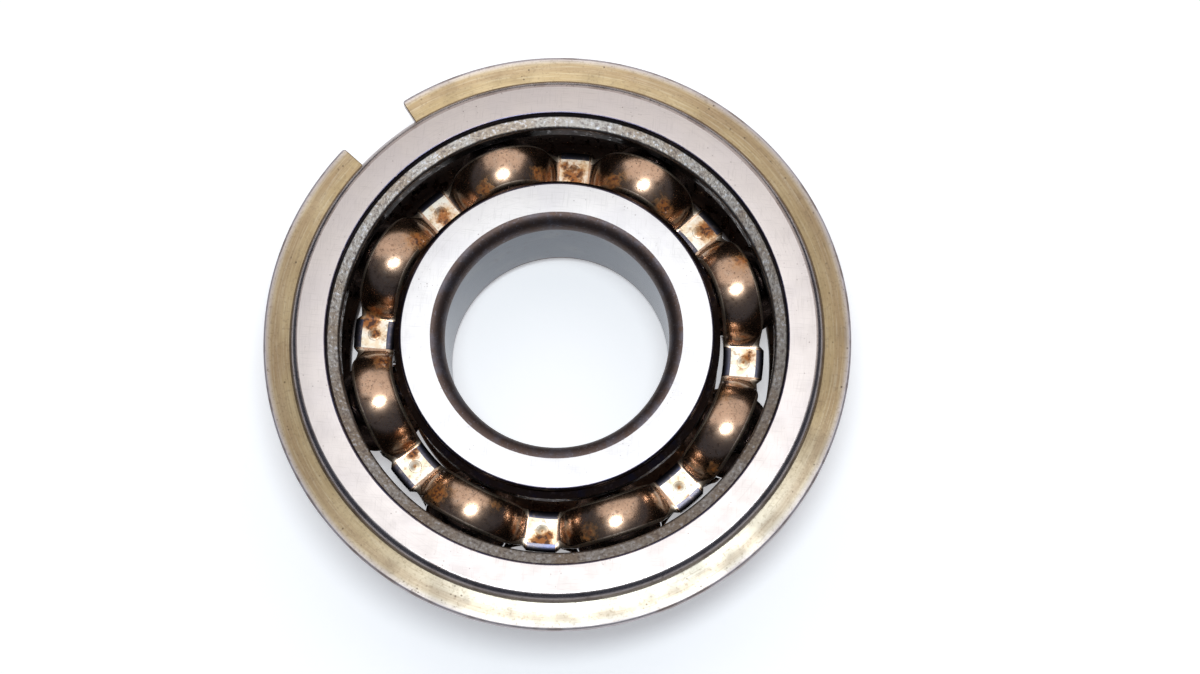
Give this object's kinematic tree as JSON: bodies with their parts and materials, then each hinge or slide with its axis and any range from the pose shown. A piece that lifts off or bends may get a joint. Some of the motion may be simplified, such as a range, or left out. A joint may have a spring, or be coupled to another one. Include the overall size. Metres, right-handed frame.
{
  "type": "ball bearing",
  "caption": "Open deep-groove ball bearing with a split snap ring in its outer ring, steel balls and a pressed, riveted ribbon cage.",
  "frame": {"origin": "centre of the bearing's back face, on its axis", "axes": "+Z along the bearing's axis from the back face to the front face, where the snap ring is; the snap ring's gap is centred between -X and +Y"},
  "size_m": [0.0786, 0.0786, 0.019],
  "materials": {
    "outer_ring_steel": "ground and slightly stained",
    "inner_ring_steel": "ground, with fine cross-hatched lines",
    "snap_ring_steel": "satin, with a tan-gold patina",
    "cage_steel": "pressed, oily bronze-brown with rust stains",
    "ball_steel": "polished",
    "rivet_steel": "dull, stained"
  },
  "bodies": {
    "outer": {"outer_ring": "outer_ring_steel"},
    "inner": {"inner_ring": "inner_ring_steel"},
    "snap": {"snap_ring": "snap_ring_steel"},
    "cage": {"cage_front": "cage_steel", "cage_back": "cage_steel", "rivet_1": "rivet_steel", "rivet_2": "rivet_steel", "rivet_3": "rivet_steel", "rivet_4": "rivet_steel", "rivet_5": "rivet_steel", "rivet_6": "rivet_steel", "rivet_7": "rivet_steel", "rivet_8": "rivet_steel"},
    "ball_1": {"ball_1": "ball_steel"},
    "ball_2": {"ball_2": "ball_steel"},
    "ball_3": {"ball_3": "ball_steel"},
    "ball_4": {"ball_4": "ball_steel"},
    "ball_5": {"ball_5": "ball_steel"},
    "ball_6": {"ball_6": "ball_steel"},
    "ball_7": {"ball_7": "ball_steel"},
    "ball_8": {"ball_8": "ball_steel"}
  },
  "joints": [
    {"name": "inner_ring_spin", "type": "hinge", "parent": "outer", "child": "inner", "pos_m": [0, 0, 0.0095], "axis": [0, 0, 1], "continuous": true},
    {"name": "cage_spin", "type": "hinge", "parent": "outer", "child": "cage", "pos_m": [0, 0, 0.0095], "axis": [0, 0, 1], "continuous": true},
    {"name": "snap_ring_turn", "type": "hinge", "parent": "outer", "child": "snap", "pos_m": [0, 0, 0.01667], "axis": [0, 0, 1], "continuous": true},
    {"name": "ball_1_spin", "type": "hinge", "parent": "cage", "child": "ball_1", "pos_m": [0.02356, 0.00976, 0.0095], "axis": [0, 0, 1], "continuous": true},
    {"name": "ball_2_spin", "type": "hinge", "parent": "cage", "child": "ball_2", "pos_m": [0.00976, 0.02356, 0.0095], "axis": [0, 0, 1], "continuous": true},
    {"name": "ball_3_spin", "type": "hinge", "parent": "cage", "child": "ball_3", "pos_m": [-0.00976, 0.02356, 0.0095], "axis": [0, 0, 1], "continuous": true},
    {"name": "ball_4_spin", "type": "hinge", "parent": "cage", "child": "ball_4", "pos_m": [-0.02356, 0.00976, 0.0095], "axis": [0, 0, 1], "continuous": true},
    {"name": "ball_5_spin", "type": "hinge", "parent": "cage", "child": "ball_5", "pos_m": [-0.02356, -0.00976, 0.0095], "axis": [0, 0, 1], "continuous": true},
    {"name": "ball_6_spin", "type": "hinge", "parent": "cage", "child": "ball_6", "pos_m": [-0.00976, -0.02356, 0.0095], "axis": [0, 0, 1], "continuous": true},
    {"name": "ball_7_spin", "type": "hinge", "parent": "cage", "child": "ball_7", "pos_m": [0.00976, -0.02356, 0.0095], "axis": [0, 0, 1], "continuous": true},
    {"name": "ball_8_spin", "type": "hinge", "parent": "cage", "child": "ball_8", "pos_m": [0.02356, -0.00976, 0.0095], "axis": [0, 0, 1], "continuous": true}
  ],
  "couplings": [
    {"joint": "cage_spin", "follows": "inner_ring_spin", "ratio": 0.37941},
    {"joint": "ball_1_spin", "follows": "inner_ring_spin", "ratio": -1.9526},
    {"joint": "ball_2_spin", "follows": "inner_ring_spin", "ratio": -1.9526},
    {"joint": "ball_3_spin", "follows": "inner_ring_spin", "ratio": -1.9526},
    {"joint": "ball_4_spin", "follows": "inner_ring_spin", "ratio": -1.9526},
    {"joint": "ball_5_spin", "follows": "inner_ring_spin", "ratio": -1.9526},
    {"joint": "ball_6_spin", "follows": "inner_ring_spin", "ratio": -1.9526},
    {"joint": "ball_7_spin", "follows": "inner_ring_spin", "ratio": -1.9526},
    {"joint": "ball_8_spin", "follows": "inner_ring_spin", "ratio": -1.9526}
  ]
}
